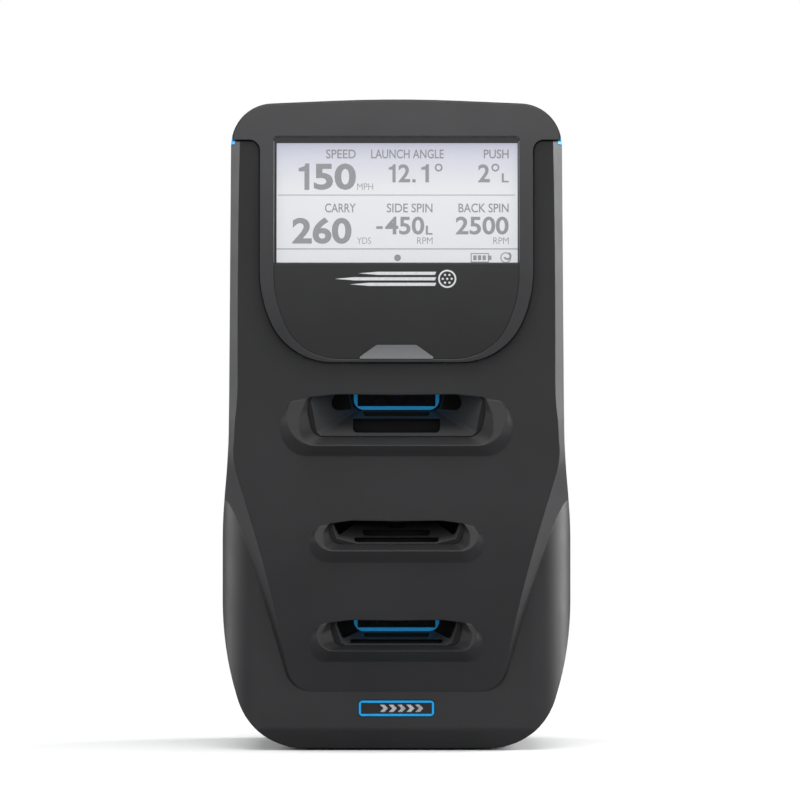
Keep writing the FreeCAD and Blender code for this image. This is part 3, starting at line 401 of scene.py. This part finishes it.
def frosted_lens():
    """Translucent grey cover of the status light, lighter towards its foot as a painted glow of the
    status light.
    """
    mat, shader = principled("frosted_lens", (0.2, 0.2, 0.21), 0.35)
    low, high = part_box("status_light_lens")
    # painted light: the cover is lighter at its foot, standing in for the glow of the status light
    ramp(mat, height_of(mat, low.z, high.z),
         [(0.0, (0.26, 0.26, 0.265)), (1.0, (0.19, 0.19, 0.2))], shader.inputs["Base Color"])
    relief(mat, shader, noise(mat, 1800, 2), 0.000006, 0.0002)
    return mat


def blue_trim():
    """Moulded blue trim; a faint glow keeps it blue in the shade of the brows."""
    color = (0.0006, 0.36, 0.8)
    mat, shader = principled("accent_blue", color, 0.3)
    shader.inputs["Emission Color"].default_value = (*color, 1)
    shader.inputs["Emission Strength"].default_value = 0.17
    ramp(mat, noise(mat, 300, 2), [(0.3, shade(color, 0.92)), (0.7, shade(color, 1.08))],
         shader.inputs["Base Color"])
    relief(mat, shader, noise(mat, 1200, 2), 0.000006, 0.0003)
    return mat


SLOT_MATERIALS = {
    "casing_plastic": moulded("casing_plastic", (0.016, 0.016, 0.0172), 0.46, rounding=0.0009),
    "shroud_plastic": front_shaded_shroud("shroud_plastic", (0.062, 0.062, 0.062),
                                     (0.02, 0.02, 0.02)),
    "pod_plastic": moulded("pod_plastic", (0.034, 0.034, 0.036), 0.42, rounding=0.0007),
    "cover_plastic": moulded("cover_plastic", (0.02, 0.02, 0.0215), 0.5),
    "base_plastic": moulded("base_plastic", (0.018, 0.018, 0.019), 0.55),
    "chip_black": moulded("chip_black", (0.02, 0.02, 0.02), 0.5, rounding=0.0001),
    "lens_barrel": moulded("lens_barrel", (0.012, 0.012, 0.012), 0.35, rounding=0.0002),
    "battery_wrap": polished("battery_wrap", (0.03, 0.05, 0.1), 0.4),
    "emitter_epoxy": polished("emitter_epoxy", (0.14, 0.13, 0.15), 0.12, 0.0001),
    "fascia_gloss": polished("fascia_gloss", (0.019, 0.019, 0.0195), 0.42),
    "badge_silver": polished("badge_silver", (0.012, 0.012, 0.014), 0.2, 0.0002),
    "seal_rubber": rubber("seal_rubber", (0.01, 0.01, 0.01)),
    "button_rubber": rubber("button_rubber", (0.022, 0.022, 0.023)),
    "foot_rubber": rubber("foot_rubber", (0.014, 0.014, 0.014)),
    "accent_blue": blue_trim(),
    "window_glass": tinted_glass(),
    "lens_glass": coated_glass(),
    "circuit_board": solder_mask(),
    "display_clear": display_pane(),
    "display_white": display_glow_and_shade(),
    "status_lens": frosted_lens(),
    "sheet_steel": metal("sheet_steel", (0.55, 0.55, 0.56), 0.35, (0.1, 1, 1)),
    "chassis_aluminium": metal("chassis_aluminium", (0.62, 0.63, 0.65), 0.38, (1, 1, 0.1)),
    "cell_steel": metal("cell_steel", (0.5, 0.5, 0.52), 0.3, (1, 1, 0.1)),
    "pin_steel": metal("pin_steel", (0.16, 0.16, 0.165), 0.32),
    "insert_brass": metal("insert_brass", (0.62, 0.44, 0.17), 0.3),
}


def dress_nodes():
    for part in frame["record"]["subparts"]:
        materials = NODES[part["node"]].data.materials
        for index in range(len(materials)):
            materials[index] = SLOT_MATERIALS[part["material_slot"]]


# ------------------------------------------------------------ flat artwork

class Artwork:
    """Thin raised shapes drawn across and up, in millimetres, in one mesh."""

    def __init__(self):
        self.form = bmesh.new()

    def polygon(self, outline):
        """Prism over an outline that is listed in order round its edge."""
        foot = [self.form.verts.new((u, v, 0)) for u, v in outline]
        top = [self.form.verts.new((u, v, 1)) for u, v in outline]
        self.form.faces.new(top)
        self.form.faces.new(foot[::-1])
        for i, corner in enumerate(foot):
            after = (i + 1) % len(foot)
            self.form.faces.new((corner, foot[after], top[after], top[i]))

    def bar(self, left, right, low, high):
        self.polygon([(left, low), (right, low), (right, high), (left, high)])

    def disc(self, u, v, radius, sides=28):
        turns = [2 * math.pi * i / sides for i in range(sides)]
        self.polygon([(u + radius * math.cos(t), v + radius * math.sin(t)) for t in turns])

    def one(self, left, right, low, high):
        """Numeral one with a flag."""
        stem, tall = right - 0.46 * (right - left), high - low
        self.polygon([(stem, low), (right, low), (right, high), (stem + 0.1 * (right - left), high),
                      (stem, high - 0.1 * tall), (left, high - 0.18 * tall),
                      (left, high - 0.3 * tall), (stem, high - 0.3 * tall)])

    def arc(self, u, v, radius, width, start, end, steps=24):
        """Curved band between two angles in degrees, anticlockwise."""
        turns = [math.radians(start + (end - start) * i / steps) for i in range(steps + 1)]
        outer, inner = radius + width / 2, radius - width / 2
        for one, other in zip(turns, turns[1:]):
            self.polygon([(u + inner * math.cos(one), v + inner * math.sin(one)),
                          (u + outer * math.cos(one), v + outer * math.sin(one)),
                          (u + outer * math.cos(other), v + outer * math.sin(other)),
                          (u + inner * math.cos(other), v + inner * math.sin(other))])

    def frame(self, left, right, low, high, line):
        self.bar(left, right, low, low + line)
        self.bar(left, right, high - line, high)
        self.bar(left, left + line, low + line, high - line)
        self.bar(right - line, right, low + line, high - line)

    def text(self, words, left, right, low, high, weight):
        """Words that fill a box exactly; weight thickens their strokes."""
        curve = bpy.data.curves.new("words", "FONT")
        curve.body = words
        curve.extrude = 0.5
        curve.offset = weight
        curve.resolution_u = 4
        holder = bpy.data.objects.new("words", curve)
        scene.collection.objects.link(holder)
        bpy.context.view_layer.update()
        mesh = bpy.data.meshes.new_from_object(holder)
        across = [point.co.x for point in mesh.vertices]
        up = [point.co.y for point in mesh.vertices]
        wide, tall = max(across) - min(across), max(up) - min(up)
        for point in mesh.vertices:
            point.co.x = left + (point.co.x - min(across)) * (right - left) / wide
            point.co.y = low + (point.co.y - min(up)) * (high - low) / tall
            point.co.z = point.co.z + 0.5
        self.form.from_mesh(mesh)
        bpy.data.objects.remove(holder)
        bpy.data.curves.remove(curve)
        bpy.data.meshes.remove(mesh)

    def lay(self, name, node, body, material, thickness, faces_up=False):
        """Lay the artwork on a node's front, or on its top, and ride its body."""
        surface = NODES[node]
        bpy.context.view_layer.update()
        for point in self.form.verts:
            u, v, layer = point.co.x * MM, point.co.y * MM, point.co.z
            start = Vector((u, v, 1)) if faces_up else Vector((u, -1, v))
            way = Vector((0, 0, -1)) if faces_up else Vector((0, 1, 0))
            hit, place, _, _ = surface.ray_cast(start, way)
            if not hit:
                raise RuntimeError(f"{name} reaches past {node}")
            point.co = place - way * (layer * thickness - SUNK)
        bmesh.ops.recalc_face_normals(self.form, faces=self.form.faces)
        mesh = bpy.data.meshes.new(name)
        self.form.to_mesh(mesh)
        self.form.free()
        mesh.materials.append(material)
        piece = bpy.data.objects.new(name, mesh)
        scene.collection.objects.link(piece)
        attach(piece, body)
        return piece


SUNK = 0.00001        # how deep a laid mark starts below its surface
HEADING = 4.3         # height of the display's headings
HEAD_RISE = 14.9      # from the foot of a row to its headings
BIG_VALUE = 12.6      # height of the two main values
VALUE = 8.6           # height of the other four
UNIT = 3.1            # height of the units


def display_headings(art, upper, lower):
    for low, words, left, right in (
            (upper, "SPEED", -33.4, -19.3), (upper, "LAUNCH ANGLE", -12, 22.4),
            (upper, "PUSH", 41.4, 53.2), (lower, "CARRY", -33.9, -19.3),
            (lower, "SIDE SPIN", -4.6, 17.1), (lower, "BACK SPIN", 29.4, 53.2)):
        art.text(words, left, right, low + HEAD_RISE, low + HEAD_RISE + HEADING, 0.012)


def display_values(art, upper, lower):
    """Main values on the left; a numeral one is drawn with its flag."""
    art.one(-46.4, -41.3, upper, upper + BIG_VALUE)
    art.text("50", -39.2, -19.2, upper, upper + BIG_VALUE, 0.03)
    art.text("260", -49.4, -21.3, lower, lower + BIG_VALUE, 0.03)
    foot = upper + 3.6
    art.one(-3.7, -0.4, foot, foot + VALUE)
    art.text("2", 0.9, 6.5, foot, foot + VALUE, 0.022)
    art.bar(7.5, 9.1, foot, foot + 1.5)
    art.one(11.7, 15.4, foot, foot + VALUE)
    art.arc(20, foot + VALUE - 1.6, 1.5, 0.8, 0, 360)
    art.text("2", 38.7, 44.3, foot, foot + VALUE, 0.022)
    art.arc(46.9, foot + VALUE - 1.6, 1.5, 0.8, 0, 360)
    art.text("L", 49.9, 53.2, foot, foot + 4.3, 0.02)
    foot = lower + 4.4
    art.bar(-9.6, -6.5, foot + 2.7, foot + 4)
    art.text("450", -5.4, 13.2, foot, foot + VALUE, 0.022)
    art.text("L", 13.9, 17.1, foot, foot + 4.3, 0.02)
    art.text("2500", 28.1, 53.2, foot, foot + VALUE, 0.022)


def display_readout():
    """Six measurements in two rows, with their units and a status bar under them."""
    art = Artwork()
    upper, lower = 266.6, 241
    display_headings(art, upper, lower)
    display_values(art, upper, lower)
    for low, unit, left, right in ((upper, "MPH", -18.6, -11.1), (lower, "YDS", -18.7, -12.1),
                                   (lower, "RPM", 9.8, 17.1), (lower, "RPM", 45.9, 53.2)):
        art.text(unit, left, right, low, low + UNIT, -0.006)
    art.bar(-56.2, 56.2, 264, 264.35)
    art.bar(-58.4, 58.4, 238.4, 238.85)
    art.disc(0.5, 234.4, 1.6)
    battery_icon(art, 35.2, 232.2)
    art.arc(51.8, 234.5, 2.3, 0.5, 0, 360, 32)
    art.arc(52.6, 235.3, 1.5, 0.9, 200, 430, 20)
    art.lay("display_readout", "display_panel", "casing", display_ink(), 0.00006)


def display_edge_shade():
    """Painted shade round the clear window, deepest along its top: black laid where the frame's
    shadow falls on the display.
    """
    low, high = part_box("display_window")
    edge, top, foot = high.x / MM - 0.1, high.z / MM - 0.1, low.z / MM + 0.1
    deep, steps = 3, 12
    art = Artwork()
    # painted shade of the frame along the top; the strips below paint its shade down the left and
    # right sides
    art.polygon([(-edge, top - deep), (edge, top - deep), (edge, top - 1.3), (edge - 1.3, top),
                 (1.3 - edge, top), (-edge, top - 1.3)])
    tall = (top - deep - foot) / steps
    for i in range(steps):
        start = foot + tall * i
        art.bar(-edge, 1.2 - edge, start, start + tall)
        art.bar(edge - 0.6, edge, start, start + tall)
    art.lay("display_edge_shade", "display_window", "casing", painted_gap_shade(), 0.00003)


def battery_icon(art, left, low):
    """A cell outline with its terminal and three charge bars."""
    art.frame(left, left + 8.6, low, low + 4.5, 0.45)
    art.bar(left + 8.6, left + 9.8, low + 1.2, low + 3.3)
    for i in range(3):
        start = left + 1.2 + 2.2 * i
        art.bar(start, start + 1.6, low + 1.1, low + 3.4)


def fascia_mark():
    """Generic mark: a dimpled ball ahead of three tapering lines of flight."""
    art = Artwork()
    middle = 224.3
    art.arc(24, middle, 3.9, 0.8, 0, 360, 40)
    for ring, count in ((0, 1), (2.1, 6)):
        for i in range(count):
            turn = 2 * math.pi * i / count
            art.disc(24 + ring * math.cos(turn), middle + ring * math.sin(turn), 0.55, 14)
    for rise, start in ((2.6, -18), (0, -29), (-2.6, -22)):
        art.polygon([(start, middle + rise), (start + 9, middle + rise - 0.75),
                     (18.2, middle + rise - 0.75), (18.8, middle + rise + 0.75),
                     (start + 9, middle + rise + 0.75)])
    art.lay("fascia_mark", "display_fascia", "casing", white_print(), 0.00004)


def badge_mark():
    """Silver chevrons across the badge."""
    art = Artwork()
    middle, half, arm = 20.0, 1.7, 1.7
    for i in range(5):
        tip = -6.2 + 4.2 * i
        art.polygon([(tip - arm, middle + half), (tip, middle), (tip - arm, middle - half),
                     (tip - arm + 2.2, middle - half), (tip + 2.2, middle),
                     (tip - arm + 2.2, middle + half)])
    silver = metal("badge_mark_silver", (0.75, 0.76, 0.78), 0.28, (1, 1, 0.2))
    art.lay("badge_mark", "badge_plate", "casing", silver, 0.00012)


def button_marks():
    """A power symbol between two arrows, one on each button."""
    ink = white_print()
    low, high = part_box("power_button")
    depth = (low.y + high.y) / 2 / MM
    power = Artwork()
    power.arc(0, depth, 1.9, 0.5, 125, 415, 28)
    power.bar(-0.25, 0.25, depth + 0.4, depth + 2.6)
    power.lay("power_button_mark", "power_button", "power_button", ink,
              0.00005, True)
    for name, way in (("left_button", -1), ("right_button", 1)):
        low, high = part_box(name)
        middle = (low.x + high.x) / 2 / MM
        arrow = Artwork()
        arrow.polygon([(middle - 1.3 * way, depth - 1.9), (middle + 1.7 * way, depth),
                       (middle - 1.3 * way, depth + 1.9)])
        arrow.lay(f"{name}_mark", name, name, ink, 0.00005, True)


# ------------------------------------------------------------ carry pad ribs

def carry_pad_ribs():
    """Half-round ribs with rounded ends along the rubber pad in the carry recess."""
    low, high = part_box("grip_pad")
    count, radius, sides = 9, 0.0011, 8
    form = bmesh.new()
    for i in range(count):
        z = low.z + (high.z - low.z) * (i + 0.5) / count
        reach = (high.x - low.x) / 2 - 0.005
        stations = [(-reach - radius * 0.9, 0.35), (-reach, 1), (reach, 1),
                    (reach + radius * 0.9, 0.35)]
        loops = []
        for x, share in stations:
            turns = [math.pi * k / sides for k in range(sides + 1)]
            loops.append([form.verts.new((x, high.y - SUNK + radius * share * math.sin(t),
                                          z + radius * share * math.cos(t))) for t in turns])
        for one, other in zip(loops, loops[1:]):
            for k in range(sides):
                form.faces.new((one[k], one[k + 1], other[k + 1], other[k]))
            form.faces.new((one[sides], one[0], other[0], other[sides]))
        form.faces.new(loops[0])
        form.faces.new(loops[-1][::-1])
    bmesh.ops.recalc_face_normals(form, faces=form.faces)
    mesh = bpy.data.meshes.new("carry_pad_ribs")
    form.to_mesh(mesh)
    form.free()
    for face in mesh.polygons:
        face.use_smooth = len(face.vertices) == 4
    mesh.materials.append(SLOT_MATERIALS["foot_rubber"])
    ribs = bpy.data.objects.new("carry_pad_ribs", mesh)
    scene.collection.objects.link(ribs)
    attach(ribs, "casing")


dress_nodes()
display_readout()
display_edge_shade()
fascia_mark()
badge_mark()
button_marks()
carry_pad_ribs()
